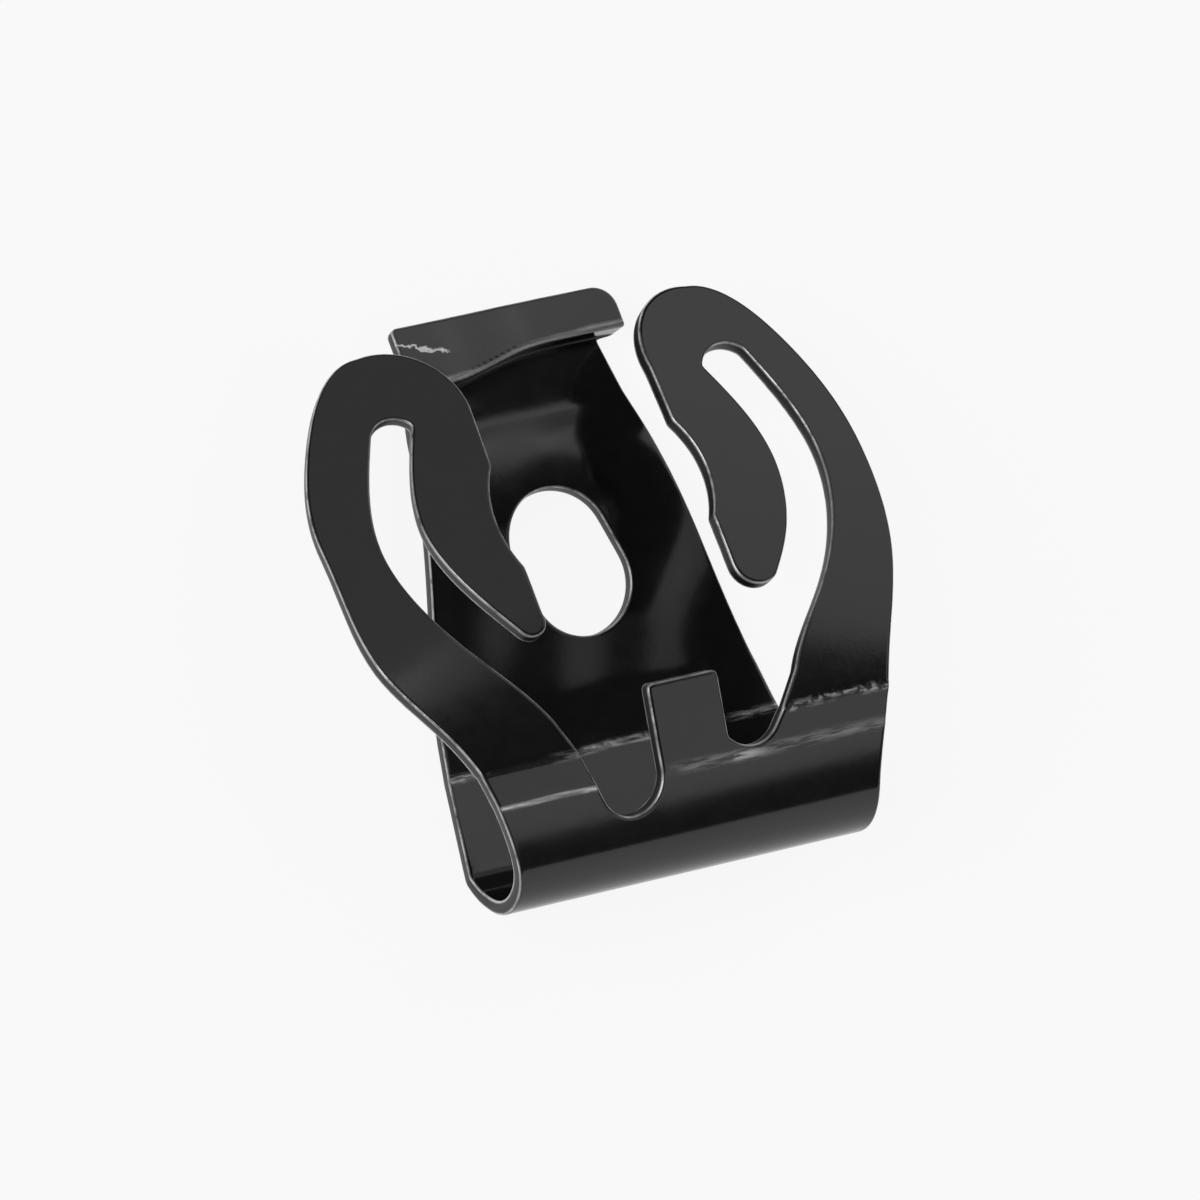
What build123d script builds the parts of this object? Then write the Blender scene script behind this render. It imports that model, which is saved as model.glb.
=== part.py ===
from build123d import *
import os
from math import acos, atan2, cos, degrees, radians, sin, tan

os.makedirs("parts", exist_ok=True)

# Wiper arm clip, folded from one flat blank of spring steel. Sizes are in millimetres.
# X runs across the clip, Y from the rolled end up to the lip, Z from the plate to the arms.
# The clip lies on the back of its plate at Z = 0 with both arms uppermost. The origin is on
# that rest plane below the middle of the clip. Heights along the clip count from the rolled end.

# Sheet
sheet = 0.7                     # thickness of the spring steel
crease_bend = 0.9               # mean radius of the soft creases

# Rolled end
roll_radius = 3.15              # outer radius of the roll
roll_axis = 4.42                # height of the roll's axis above the rest plane
roll_half_width = 9.45          # half width of the blank round the roll
front_lean = 25.0               # degrees the front leg opens away from the plate
back_lean = 13.0                # degrees the back leg runs down towards the rest plane

# Back plate
plate_crease = 7.0              # where the back leg meets the plate
belly_at = 10.0                 # where the plate touches the rest plane
crest_at = 18.2                 # where the plate stands highest
plate_rise = 0.8                # height of that crest
plate_end = 26.1                # where the front of the plate steps up to the lip
plate_end_left = -5.55          # left edge of the plate there
plate_end_right = 5.05          # right edge of the plate there
plate_end_flat = 1.0            # straight stretch on both sides of that step
side_bend_at = 9.0              # where both edges of the plate turn inwards a little more
side_bend_left = -8.75          # left edge of the plate there
side_bend_right = 8.45          # right edge of the plate there

# Lip, whose left end is flush with the plate
lip_step = 0.95                 # distance the lip stands in front of the plate
lip_step_lean = 62.0            # degrees the sheet turns up at the foot of the step
lip_foot_radius = 0.6           # radius on the back where the step starts
lip_knee_radius = 0.12          # radius on the front where the step ends
lip_slant = 3.5                 # degrees its bend lines drop towards the left
lip_height = 2.3                # distance from the step up to the edge of the lip
lip_right = 6.2                 # right end of the lip
lip_corner = 0.95               # radius of its upper right corner
lip_under_corner = 0.6          # radius of its lower right corner
lip_left_corner = 0.2           # radius of its upper left corner

# Slotted hole for the stud
hole_width = 5.0                # width of the hole
hole_length = 7.5               # length of the hole
hole_at = (0.35, 16.0)          # its middle
hole_slant = 15.6               # degrees its upper end leans to the left

# Arm sheet, which bows back to the plate and more so at its outer side
crease_at = 4.4                 # height of the lower crease, which runs across the whole leaf
stem_lean = 13.5                # degrees the sheet still opens from there up, tab included
arm_crease_at = 6.0             # height of the upper crease, which only the arms have
arm_lean = -2.5                 # degrees the arms open above it, less than none as they close
shank_length = 11.0             # stretch above the crease where the outer side closes the most
tail_length = 18.0              # stretch from there past the end of the arms
middle_bow = 160.0              # radius of the shank's bow, carried on to the middle of the clip
middle_tail_bow = 34.5          # radius of the tail's bow there
outer_bow = 35.0                # radius of the shank's bow at the outer side
outer_tail_bow = -100.0         # radius of the tail's bow there, which turns the other way

# Arm outline, drawn on the right and mirrored to the left
hip = (9.85, 3.9)               # outer edge just below the lower crease
shoulder = (11.6, 7.8)
flank = (13.33, 12.3)
reach = (14.2, 17.0)            # widest point of the arm
brow = (12.7, 22.7)
head = (8.45, 27.03)            # highest point of the arm
curl = (5.68, 26.13)
neck = (4.75, 23.4)             # where the rounded head meets the finger
upper_kink = (4.93, 20.3)
hollow = (5.55, 18.4)           # deepest point between the two kinks
lower_kink = (5.15, 16.1)
tip_inner = (5.05, 12.85)
tip_end = (5.78, 11.95)         # blunt end of the finger
tip_outer = (6.75, 12.1)
finger_side = (8.2, 13.9)
finger_belly = (9.3, 17.75)     # widest point of the finger
slot_inner = (7.75, 22.75)
slot_end = (8.5, 23.65)         # closed end of the slot between finger and strut
slot_outer = (9.75, 23.0)
strut_upper = (11.55, 17.2)
strut_lower = (9.45, 11.9)
strut_foot = (6.45, 7.9)        # where the strut meets the notch
strut_foot_slope = (-1, -2)     # direction of the strut's inner edge there

# Tab between the arms and the notches beside it
tab_left = -1.75                # left edge of the tab
tab_right = 1.95                # right edge of the tab
tab_top = 8.4                   # upper edge of the tab
tab_corner = 0.25               # radius of the tab's upper corners
left_notch = 2.85               # lowest point of the deep left notch
left_notch_radius = 1.625       # radius of its round floor
left_notch_entry = 0.0          # degrees between the tab's edge and that floor
right_notch = 4.7               # lowest point of the shallow right notch
right_notch_radius = 1.6        # radius of its round floor
right_notch_entry = 38.0        # degrees between the tab's edge and that floor

# Sizes that follow from the ones above
half_sheet = sheet / 2
mean_radius = roll_radius - half_sheet
past = 2 * reach[0]             # a length that runs past the clip on every side
outer_at = reach[0] + sheet     # distance from the middle where the outer bow holds
roll_bottom = (half_sheet, roll_axis)
bend_slope = tan(radians(lip_slant))
lip_top = plate_end + lip_height
lip_front = sheet + lip_step
step_run = lip_step / tan(radians(lip_step_lean))
back_shift = sheet * tan(radians(lip_step_lean / 2))
tab_middle = (tab_left + tab_right) / 2
tab_width = tab_right - tab_left

# Side and front view with the rolled end at height 0
side_view = Plane.YZ.shift_origin((0, -lip_top / 2, 0))
front_view = Plane.XY.shift_origin((0, -lip_top / 2, 0))

# View along the lip's slanted bend lines with the end of the plate at 0
lip_view = Plane(
    origin=(0, plate_end - lip_top / 2, 0),
    x_dir=Vector(0, 1, 0).rotate(Axis.Z, lip_slant),
    z_dir=Vector(1, 0, 0).rotate(Axis.Z, lip_slant),
)


def leg_length(start, height, lean, turn):
    # straight run along a leaning leg up to the start of the crease at the given height
    corner = (height - start.X) / cos(radians(lean))
    return corner - crease_bend * tan(radians(turn / 2))


def leg(before, height, lean, turn):
    # straight leg that carries on from a curve
    run = leg_length(before @ 1, height, lean, turn)
    return Line(before @ 1, before @ 1 + (before % 1) * run)


# Section of the back: half the roll, the leg and the bowed plate
with BuildSketch(side_view) as back_section:
    with BuildLine():
        roll_back = JernArc(roll_bottom, (0, -1), mean_radius, 90 - back_lean)
        back_leg = leg(roll_back, plate_crease, back_lean, back_lean)
        back_crease = JernArc(back_leg @ 1, back_leg % 1, crease_bend, back_lean / 2)
        plate_foot = Spline(
            back_crease @ 1,
            (belly_at, half_sheet),
            tangents=(back_crease % 1, (1, 0)),
        )
        plate_climb = Spline(
            plate_foot @ 1,
            (crest_at, half_sheet + plate_rise),
            tangents=((1, 0), (1, 0)),
        )
        plate_fall = Spline(
            plate_climb @ 1,
            (plate_end - plate_end_flat, half_sheet),
            tangents=((1, 0), (1, 0)),
        )
        Line(plate_fall @ 1, (plate_end + plate_end_flat, half_sheet))
    trace(line_width=sheet)

# Section of the lip, square to its slanted bend lines, from the foot of the step upwards
with BuildSketch(lip_view) as lip_section:
    with BuildLine():
        Polyline(
            (0, 0),
            (0, sheet),
            (step_run, lip_front),
            (past, lip_front),
            (past, lip_step),
            (step_run + back_shift, lip_step),
            (back_shift, 0),
            close=True,
        )
    make_face()
    foot_corner = vertices().sort_by_distance((back_shift, 0))[0]
    fillet(foot_corner, radius=lip_foot_radius)
    knee_corner = vertices().sort_by_distance((step_run, lip_front))[0]
    fillet(knee_corner, radius=lip_knee_radius)

# Section of the front up to the upper crease: half the roll, the leg, the lower crease, the stem
with BuildSketch(side_view) as front_section:
    with BuildLine():
        roll_front = JernArc(roll_bottom, (0, 1), mean_radius, front_lean - 90)
        front_leg = leg(roll_front, crease_at, front_lean, front_lean - stem_lean)
        front_crease = JernArc(front_leg @ 1, front_leg % 1, crease_bend, stem_lean - front_lean)
        stem = leg(front_crease, arm_crease_at, stem_lean, stem_lean - arm_lean)
    trace(line_width=sheet)

# Section of the tab, which carries on straight from the stem
with BuildSketch(side_view) as tab_section:
    with BuildLine():
        Line(stem @ 1, stem @ 1 + (stem % 1) * past)
    trace(line_width=sheet)

# Section of the upper crease
with BuildSketch(side_view) as arm_crease_section:
    with BuildLine():
        arm_crease = JernArc(stem @ 1, stem % 1, crease_bend, arm_lean - stem_lean)
    trace(line_width=sheet)


def arm_section(distance, shank_bow, tail_bow):
    # section of the arm sheet at one distance from the middle, from the upper crease upwards
    with BuildSketch(side_view.offset(distance)) as section:
        with BuildLine():
            shank_turn = -degrees(shank_length / shank_bow)
            shank = JernArc(arm_crease @ 1, arm_crease % 1, shank_bow, shank_turn)
            tail_turn = -degrees(tail_length / tail_bow)
            JernArc(shank @ 1, shank % 1, abs(tail_bow), tail_turn)
        trace(line_width=sheet)
    return section.sketch.face()


# Outline of the back seen from the front, up to the slanted foot of the step
with BuildSketch(front_view) as back_outline:
    with BuildLine():
        Polyline(
            (-roll_half_width, 0),
            (roll_half_width, 0),
            (roll_half_width, roll_radius),
            (side_bend_right, side_bend_at),
            (plate_end_right, plate_end + plate_end_right * bend_slope),
            (plate_end_left, plate_end + plate_end_left * bend_slope),
            (side_bend_left, side_bend_at),
            (-roll_half_width, roll_radius),
            close=True,
        )
    make_face()

# Slotted hole
with BuildSketch(front_view) as hole_outline:
    with Locations(hole_at):
        SlotOverall(hole_length, hole_width, rotation=90 + hole_slant)

# Outline of the lip, whose lower edge follows the slanted foot of the step
with BuildSketch(front_view) as lip_outline:
    with BuildLine():
        Polyline(
            (plate_end_left, plate_end + plate_end_left * bend_slope),
            (lip_right, plate_end + lip_right * bend_slope),
            (lip_right, lip_top),
            (plate_end_left, lip_top),
            close=True,
        )
    make_face()
    lip_corners = vertices().group_by(Axis.Y)[-1].sort_by(Axis.X)
    fillet(lip_corners[0], radius=lip_left_corner)
    fillet(lip_corners[1], radius=lip_corner)
    lip_lowest_right = vertices().sort_by_distance((lip_right, plate_end))[0]
    fillet(lip_lowest_right, radius=lip_under_corner)

# Outline of one half of the front: side of the roll, bulging strut, rounded head and finger
with BuildSketch(front_view) as half_outline:
    with BuildLine():
        Polyline(
            (strut_foot[0], 0),
            (roll_half_width, 0),
            (roll_half_width, sheet),
        )
        Spline(
            (roll_half_width, sheet),
            hip,
            shoulder,
            flank,
            reach,
            tangents=((0, 1), (0, 1)),
        )
        Spline(reach, brow, head, tangents=((0, 1), (-1, 0)))
        ThreePointArc(head, curl, neck)
        Line(neck, upper_kink)
        ThreePointArc(upper_kink, hollow, lower_kink)
        Line(lower_kink, tip_inner)
        ThreePointArc(tip_inner, tip_end, tip_outer)
        Spline(tip_outer, finger_side, finger_belly, slot_inner)
        end_round = ThreePointArc(slot_inner, slot_end, slot_outer)
        Spline(
            slot_outer,
            strut_upper,
            strut_lower,
            strut_foot,
            tangents=(end_round % 1, strut_foot_slope),
        )
        Line(strut_foot, (strut_foot[0], 0))
    make_face()


def notch_outline(tab_edge, floor, radius, entry):
    # notch on the right of the tab: a round floor that widens up to the foot of the strut
    middle = Vector(tab_edge + radius * cos(radians(entry)), floor + radius)
    start = (tab_edge, middle.Y - radius * sin(radians(entry)))
    across = Vector(*strut_foot) - middle
    touch_angle = degrees(atan2(across.Y, across.X) - acos(radius / across.length))
    touch = middle + Vector(radius, 0).rotate(Axis.Z, touch_angle)
    with BuildSketch() as outline:
        with BuildLine():
            ThreePointArc(touch, (middle.X, floor), start)
            Polyline(start, (tab_edge, strut_foot[1]), strut_foot, touch)
        make_face()
    return outline.sketch


# The left notch is drawn on the right and mirrored
right_notch_outline = notch_outline(
    tab_right, right_notch, right_notch_radius, right_notch_entry
)
left_notch_outline = mirror(
    notch_outline(-tab_left, left_notch, left_notch_radius, left_notch_entry),
    about=Plane.YZ,
)

# Outline of the whole front leaf with its two unequal notches, the root of the tab included
with BuildSketch(front_view) as front_outline:
    Rectangle(2 * strut_foot[0], strut_foot[1], align=(Align.CENTER, Align.MIN))
    add(half_outline.sketch_local)
    mirror(about=Plane.YZ)
    add(left_notch_outline, mode=Mode.SUBTRACT)
    add(right_notch_outline, mode=Mode.SUBTRACT)

# Outline of both arms, without the strip that carries on as the tab
with BuildSketch(front_view) as arms_outline:
    add(front_outline.sketch_local)
    with Locations((tab_middle, 0)):
        Rectangle(tab_width, past, align=(Align.CENTER, Align.MIN), mode=Mode.SUBTRACT)

# Outline of the tab
with BuildSketch(front_view) as tab_outline:
    with Locations((tab_middle, tab_top)):
        Rectangle(tab_width, tab_top, align=(Align.CENTER, Align.MAX))
    tab_upper_corners = vertices().group_by(Axis.Y)[-1]
    fillet(tab_upper_corners, radius=tab_corner)

# Back of the clip with the slotted hole
with BuildPart() as back:
    extrude(back_section.sketch, amount=past, both=True)
    extrude(back_outline.sketch, amount=past, both=True, mode=Mode.INTERSECT)
    extrude(hole_outline.sketch, amount=past, both=True, mode=Mode.SUBTRACT)

# Lip, which steps up from the plate and is wider on the right
with BuildPart() as lip:
    extrude(lip_section.sketch, amount=past, both=True)
    extrude(lip_outline.sketch, amount=past, both=True, mode=Mode.INTERSECT)

# Front half of the roll, front leg and stem
with BuildPart() as front_leaf:
    extrude(front_section.sketch, amount=past, both=True)
    extrude(front_outline.sketch, amount=past, both=True, mode=Mode.INTERSECT)

# Arm sheet of the right half, whose outer side drops towards the plate
with BuildPart() as arm_sheet:
    loft(
        [
            arm_section(0, middle_bow, middle_tail_bow),
            arm_section(outer_at, outer_bow, outer_tail_bow),
        ],
        ruled=True,
    )

# Both arms with the upper crease
with BuildPart() as arms:
    add(arm_sheet.part)
    mirror(about=Plane.YZ)
    extrude(arm_crease_section.sketch, amount=past, both=True)
    extrude(arms_outline.sketch, amount=past, both=True, mode=Mode.INTERSECT)

# Tab
with BuildPart() as tab:
    extrude(tab_section.sketch, amount=past, both=True)
    extrude(tab_outline.sketch, amount=past, both=True, mode=Mode.INTERSECT)

# The finished clip is one piece of sheet
with BuildPart() as spring_clip:
    add(back.part)
    add(lip.part)
    add(front_leaf.part)
    add(arms.part)
    add(tab.part)

spring_clip.part.label = "spring_clip"
export_step(spring_clip.part, "parts/spring_clip.step")
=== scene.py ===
# %% [markdown]
# # Wiper arm clip
# A small spring clip, stamped from one flat blank of spring steel and then folded: the plate
# with the stud slot, a rolled end, and two springy arms that come back over the plate. The
# folded model comes in as a fixed frame. The clip that shows is made here the way a press
# makes it, so that every sheared edge and every crease is where it is on the real one.

# %% Load the folded model as the frame
from math import acos, atan, ceil, cos, pi, radians, sin, sqrt, tan

import bpy
import numpy as np
from mathutils import Matrix, Vector
from mathutils.geometry import delaunay_2d_cdt


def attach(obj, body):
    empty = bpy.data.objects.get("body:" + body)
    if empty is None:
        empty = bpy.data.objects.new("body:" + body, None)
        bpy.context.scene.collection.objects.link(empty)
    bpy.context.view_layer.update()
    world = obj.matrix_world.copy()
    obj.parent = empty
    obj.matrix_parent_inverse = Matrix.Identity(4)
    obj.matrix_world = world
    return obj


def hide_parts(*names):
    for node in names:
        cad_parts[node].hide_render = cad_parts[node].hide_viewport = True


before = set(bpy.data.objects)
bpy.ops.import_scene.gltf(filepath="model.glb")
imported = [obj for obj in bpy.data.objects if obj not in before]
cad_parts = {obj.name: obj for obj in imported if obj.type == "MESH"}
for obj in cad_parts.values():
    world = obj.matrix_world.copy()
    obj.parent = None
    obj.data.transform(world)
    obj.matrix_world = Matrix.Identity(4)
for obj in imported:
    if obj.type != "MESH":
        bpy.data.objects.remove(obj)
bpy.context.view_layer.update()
MM = 0.001

# %% [markdown]
# ## The sizes of the blank
# All lengths are in millimetres and are turned into metres once, when a mesh is made. X runs
# across the clip and heights count from the rolled end. The folded clip lies on the back of
# its plate, so its height from the rest plane is Z.

# %% Sheet, rolled end, plate and lip
SHEET = 0.7
CREASE_BEND = 0.9
ROLL_RADIUS = 3.15
ROLL_AXIS = 4.42
ROLL_HALF_WIDTH = 9.45
FRONT_LEAN = 25.0
BACK_LEAN = 13.0
PLATE_CREASE = 7.0
BELLY_AT = 10.0
CREST_AT = 18.2
PLATE_RISE = 0.8
PLATE_END = 26.13
PLATE_KINK = 23.0
PLATE_FALL, PLATE_FOOT_FALL = 10.5, 3.7
FALL_ROUND = 3.29
KINK_BEND = 0.3
SIDE_BEND_AT, SIDE_BEND_LEFT, SIDE_BEND_RIGHT = 9.0, -8.5, 8.45
BACK_LEG_LEFT = (-9.68, 2.2)
LEG_BOW = 8.0
LIP_STEP = 1.2
LIP_STEP_LEAN = 87.0
LIP_BEND = 0.45
LIP_KNEE_RADIUS = 0.12
LIP_DROOP = 10.5
LIP_TOP = 28.33
LIP_SPARE = 2.0
REACH_BACK = 28.4
LIP_RIGHT = 6.08
LIP_LEFT = -5.55
HOLE_WIDTH = 5.15
HOLE_LENGTH = 7.2
HOLE_AT = (0.17, 15.9)
HOLE_SLANT = 17.5

# %% Arms, tab and notches
CREASE_AT, STEM_LEAN = 4.4, 13.5
ARM_CREASE_AT, ARM_LEAN = 6.0, -2.5
SHANK_LENGTH = 11.0
TAIL_LENGTH = 18.0
MIDDLE_BOW, MIDDLE_TAIL_BOW = 160.0, 34.5
RIGHT_ARM_LEAN, RIGHT_BOW, RIGHT_TAIL_BOW = -6.0, 50.0, -110.0
LEFT_ARM_LEAN, LEFT_BOW, LEFT_TAIL_BOW = -5.5, 35.0, -35.0
RIGHT_ARM = {
    "roll": (9.58, SHEET), "hip": (10.0, 3.68), "shoulder": (11.57, 8.05),
    "flank": (13.33, 12.08), "reach": (14.1, 17.48), "brow": (12.7, 23.12),
    "head": (8.51, 27.0), "curl": (5.68, 26.15), "neck": (4.7, 23.29),
    "upper kink": (4.68, 20.49), "hollow": (5.42, 18.46), "lower kink": (4.87, 15.58),
    "tip inner": (4.92, 13.07), "tip end": (5.75, 11.95), "tip outer": (7.0, 12.21),
    "finger side": (8.2, 13.9), "finger belly": (9.22, 18.09), "slot inner": (7.52, 22.88),
    "slot end": (8.28, 23.65), "slot outer": (10.11, 23.38), "strut upper": (11.69, 18.0),
    "strut lower": (9.45, 11.78), "strut foot": (6.26, 7.62),
}
LEFT_ARM = {
    "roll": (9.45, SHEET), "hip": (10.1, 3.81), "shoulder": (11.71, 7.82),
    "flank": (13.85, 11.75), "reach": (14.01, 18.0), "brow": (12.7, 23.03),
    "head": (8.86, 26.83), "curl": (6.13, 26.11), "neck": (4.69, 23.3),
    "upper kink": (4.86, 20.21), "hollow": (5.64, 17.9), "lower kink": (5.2, 15.1),
    "tip inner": (5.2, 12.75), "tip end": (5.8, 11.75), "tip outer": (6.56, 12.1),
    "finger side": (7.93, 14.2), "finger belly": (9.07, 17.22), "slot inner": (7.62, 23.0),
    "slot end": (8.2, 23.48), "slot outer": (9.61, 22.97), "strut upper": (11.32, 16.65),
    "strut lower": (9.43, 11.98), "strut foot": (6.45, 7.71),
}
TAB_LEFT, TAB_RIGHT, TAB_TOP = -1.75, 1.95, 8.4
LEFT_NOTCH, LEFT_NOTCH_RADIUS, LEFT_NOTCH_ENTRY = 2.85, 1.625, 0.0
RIGHT_NOTCH, RIGHT_NOTCH_RADIUS, RIGHT_NOTCH_ENTRY = 4.7, 1.6, 38.0
TAB_CORNER = 0.25
OUTER_AT = 14.9

# %% [markdown]
# ## The section as a press sees it
# Seen from its end, the sheet is one path: the lip, the plate, the roll, the front leg and the
# arms. A path like that is a row of runs, and each run is a length and a turn. No turn gives
# a straight run, any other gives an arc. Only the bowed plate is drawn as smooth curves.

# %% Paths made of runs
TURN_STEP, LENGTH_STEP = 1.0, 0.1


def follow(points, heading, *pieces):
    """carries a path on by runs of (length, turn in degrees) and gives the new heading"""
    for length, turn in pieces:
        steps = ceil(max(abs(turn) / TURN_STEP, length / LENGTH_STEP))
        half = radians(turn) / steps / 2
        chord = length / steps * (sin(half) / half if half else 1)
        for _ in range(steps):
            heading += half
            points.append(points[-1] + chord * np.array((cos(heading), sin(heading))))
            heading += half
    return heading


def ease(points, heading, end, end_heading=0.0, steps=80):
    """carries a path on by one smooth curve to a point, arriving at a given heading"""
    start, end = points[-1], np.array(end, float)
    pull = np.linalg.norm(end - start)
    leave = pull * np.array((cos(heading), sin(heading)))
    arrive = pull * np.array((cos(end_heading), sin(end_heading)))
    for step in range(1, steps + 1):
        t = step / steps
        points.append(
            (2 * t**3 - 3 * t**2 + 1) * start
            + (t**3 - 2 * t**2 + t) * leave
            + (3 * t**2 - 2 * t**3) * end
            + (t**3 - t**2) * arrive
        )
    return end_heading


# %% The back half and the three kinds of front half
HALF_SHEET = SHEET / 2
MEAN_RADIUS = ROLL_RADIUS - HALF_SHEET
ROLL_BOTTOM = np.array((HALF_SHEET, ROLL_AXIS))
STEP_LEAN = radians(LIP_STEP_LEAN)
KNEE_TURN = radians(LIP_STEP_LEAN + LIP_DROOP)


def leg_run(points, height, lean, turn):
    """length of a leaning leg up to the start of the crease at a height"""
    corner = (height - points[-1][0]) / cos(radians(lean))
    return corner - CREASE_BEND * tan(radians(abs(turn) / 2))


def back_half():
    """the path from the bottom of the roll over the plate to the foot of the lip's knee"""
    points = [ROLL_BOTTOM]
    turn = 90 - BACK_LEAN
    heading = follow(points, radians(-90), (MEAN_RADIUS * radians(turn), turn))
    run = leg_run(points, PLATE_CREASE, BACK_LEAN, BACK_LEAN)
    crease_turn = BACK_LEAN / 2
    crease = (CREASE_BEND * radians(crease_turn), crease_turn)
    heading = follow(points, heading, (run, 0), crease)
    heading = ease(points, heading, (BELLY_AT, HALF_SHEET))
    heading = ease(points, heading, (CREST_AT, HALF_SHEET + PLATE_RISE))
    fall, foot_fall = radians(PLATE_FALL), radians(PLATE_FOOT_FALL)
    heading = follow(points, heading, (FALL_ROUND, -PLATE_FALL))
    run = (PLATE_KINK - points[-1][0]) / cos(fall)
    heading = follow(points, heading, (run, 0), (KINK_BEND, PLATE_FALL - PLATE_FOOT_FALL))
    foot = PLATE_END - (LIP_BEND - HALF_SHEET) * tan(STEP_LEAN / 2) - LIP_BEND * sin(foot_fall)
    run = (foot - points[-1][0]) / cos(foot_fall)
    heading = follow(points, heading, (run, 0))
    print("plate's middle at the foot:", round(points[-1][1], 3))
    slope = LIP_STEP / sin(STEP_LEAN) - 2 * LIP_BEND * tan(STEP_LEAN / 2)
    foot_turn = LIP_STEP_LEAN + PLATE_FOOT_FALL
    heading = follow(points, heading, (LIP_BEND * radians(foot_turn), foot_turn))
    foot_ends = len(points) - 1
    return points, follow(points, heading, (slope, 0)), foot_ends


def front_half():
    """the path from the bottom of the roll over the lower crease to the upper one"""
    points = [ROLL_BOTTOM]
    turn = FRONT_LEAN + LEG_BOW / 2 - 90
    heading = follow(points, radians(90), (MEAN_RADIUS * radians(-turn), turn))
    turn = STEM_LEAN - FRONT_LEAN + LEG_BOW / 2
    run = leg_run(points, CREASE_AT, FRONT_LEAN, turn)
    heading = follow(points, heading, (run, -LEG_BOW), (CREASE_BEND * radians(-turn), turn))
    run = leg_run(points, ARM_CREASE_AT, STEM_LEAN, ARM_LEAN - STEM_LEAN)
    return points, follow(points, heading, (run, 0))


def bowed(length, bow):
    """a run of that length bowed towards the plate, or away from it for a negative bow"""
    return length, -180 / pi * length / bow


back_path, heading, foot_ends = back_half()
knee_starts = len(back_path) - 1
heading = follow(back_path, heading, (LIP_BEND * KNEE_TURN, -LIP_STEP_LEAN - LIP_DROOP))
knee_ends = len(back_path) - 1
follow(back_path, heading, (LIP_TOP + LIP_SPARE - back_path[-1][0], 0))

stem, stem_heading = front_half()
arm_turn = ARM_LEAN - STEM_LEAN
arm_crease = (CREASE_BEND * radians(-arm_turn), arm_turn)
middle_path, right_path, left_path, tab_path = (list(stem) for _ in range(4))
bows = bowed(SHANK_LENGTH, MIDDLE_BOW), bowed(TAIL_LENGTH, MIDDLE_TAIL_BOW)
follow(middle_path, stem_heading, arm_crease, *bows)
right_crease = (arm_crease[0], RIGHT_ARM_LEAN - STEM_LEAN)
bows = bowed(SHANK_LENGTH, RIGHT_BOW), bowed(TAIL_LENGTH, RIGHT_TAIL_BOW)
follow(right_path, stem_heading, right_crease, *bows)
left_crease = (arm_crease[0], LEFT_ARM_LEAN - STEM_LEAN)
bows = bowed(SHANK_LENGTH, LEFT_BOW), bowed(TAIL_LENGTH, LEFT_TAIL_BOW)
follow(left_path, stem_heading, left_crease, *bows)
follow(tab_path, stem_heading, (SHANK_LENGTH + TAIL_LENGTH, 0))


def whole(front_path):
    """one path from the lip to the end of a front half, with its length at each point"""
    points = np.array(back_path[::-1] + front_path[1:])
    steps = np.linalg.norm(np.diff(points, axis=0), axis=1)
    return points, np.concatenate(([0], np.cumsum(steps)))


paths = {"middle": middle_path, "right": right_path, "left": left_path, "tab": tab_path}
sections = {name: whole(path) for name, path in paths.items()}
for name, (points, lengths) in sections.items():
    print(name, "section:", len(points), "points,", round(lengths[-1], 2), "mm long")

# %% [markdown]
# ## A crisp knee
# The lip steps up from the plate over two tight bends. A bent sheet is usually round on the
# outside, but here the tool has struck the knee nearly sharp. So the front of the sheet stands
# off its middle by a little more there, out to where both flat fronts would meet, and the
# hollow side of the knee is drawn in a little, which keeps it open.

# %% How far the front of the knee stands off
def knee_reach(turned):
    """height of the front above the middle of the sheet, after part of the knee's turn"""
    from_bisector = abs(turned - KNEE_TURN / 2)
    outer = LIP_BEND + HALF_SHEET
    hub = (outer - LIP_KNEE_RADIUS) / cos(KNEE_TURN / 2)
    round_to = KNEE_TURN / 2 - atan((outer - LIP_KNEE_RADIUS) / outer * tan(KNEE_TURN / 2))
    if from_bisector > round_to:
        return outer / cos(KNEE_TURN / 2 - from_bisector) - LIP_BEND
    aside = hub * sin(from_bisector)
    return hub * cos(from_bisector) + sqrt(LIP_KNEE_RADIUS**2 - aside**2) - LIP_BEND


HOLLOW_PULL = 0.3
front_stand = {name: np.ones(len(points)) for name, (points, _) in sections.items()}
knee_count = knee_ends - knee_starts
for step in range(knee_count + 1):
    reach = knee_reach(KNEE_TURN * step / knee_count) / HALF_SHEET
    for stand in front_stand.values():
        stand[len(back_path) - 1 - knee_starts - step] = reach
print("front of the knee stands off up to", round(front_stand["middle"].max(), 2), "times")

# %% [markdown]
# ## From the folded outline back to the flat blank
# The outline is known on the folded clip, seen from the front. The blank is flat, so each
# height is turned into a length along the section, as a toolmaker does to lay out a die.
# The arms twist, so their section changes from the middle of the clip to its outer side.
# The step of the lip isn't straight either: the tool has let its left end sag down the plate,
# the knee a little further than the foot, so the bends are looked up further along there.

# %% Length along the sheet at a place seen from the front
TAB_FADE = 1.3
turning_back = len(back_path) - 1


def smoothstep(value):
    clamped = np.clip(value, 0, 1)
    return clamped * clamped * (3 - 2 * clamped)


def tab_share(x):
    """1 on the tab, falling to 0 in the sheet beside it"""
    middle, half = (TAB_LEFT + TAB_RIGHT) / 2, (TAB_RIGHT - TAB_LEFT) / 2
    return 1 - smoothstep((abs(x - middle) - half) / TAB_FADE)


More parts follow.
